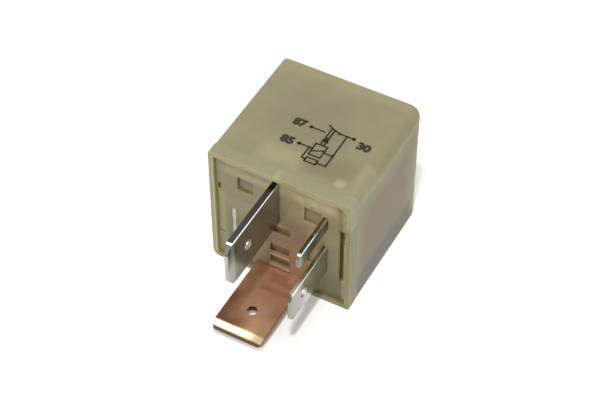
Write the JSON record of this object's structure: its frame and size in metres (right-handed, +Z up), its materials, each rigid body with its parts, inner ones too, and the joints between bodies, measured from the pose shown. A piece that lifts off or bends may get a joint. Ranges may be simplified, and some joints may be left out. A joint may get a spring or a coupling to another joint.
{
  "type": "automotive relay",
  "caption": "Plug-in automotive relay: a square translucent moulded cover over a base with flat blade terminals, and a coil with a hinged armature inside.",
  "frame": {"origin": "centre of the bottom of the part's box, as the relay lies on its side", "axes": "+Z up through the printed side of the cover, -Y along the blades away from the base, +X towards the coil blades"},
  "size_m": [0.0264, 0.041, 0.0256],
  "materials": {
    "cover_nylon": "translucent moulded glass-filled nylon, satin",
    "base_nylon": "moulded glass-filled nylon, satin",
    "tin_plate": "bright tin plate on brass",
    "copper": "bare rolled copper, glossy",
    "zinc_steel": "zinc-plated soft iron",
    "bobbin_nylon": "moulded black nylon",
    "magnet_wire": "enamelled copper wire",
    "spring_bronze": "rolled bronze",
    "silver_contact": "silver alloy",
    "resistor_lacquer": "baked lacquer"
  },
  "bodies": {
    "relay": {"cover": "cover_nylon", "base": "base_nylon", "terminal_30": "tin_plate", "terminal_87": "copper", "terminal_85": "tin_plate", "terminal_86": "tin_plate", "yoke": "zinc_steel", "core": "zinc_steel", "bobbin": "bobbin_nylon", "coil_winding": "magnet_wire", "coil_lead_85": "magnet_wire", "coil_lead_86": "magnet_wire", "fixed_contact": "silver_contact", "back_stop": "zinc_steel", "resistor": "resistor_lacquer", "resistor_leads": "tin_plate", "common_link": "tin_plate"},
    "armature": {"armature": "zinc_steel", "contact_spring": "spring_bronze", "armature_rivets": "zinc_steel", "moving_contact": "silver_contact"}
  },
  "joints": [
    {"name": "armature_hinge", "type": "hinge", "parent": "relay", "child": "armature", "pos_m": [-0.0086, 0.01643, 0.0128], "axis": [0, 0, -1], "range_deg": [0, 2.4], "stiffness_Nm_per_rad": 0.05, "springref_deg": -4.58}
  ]
}
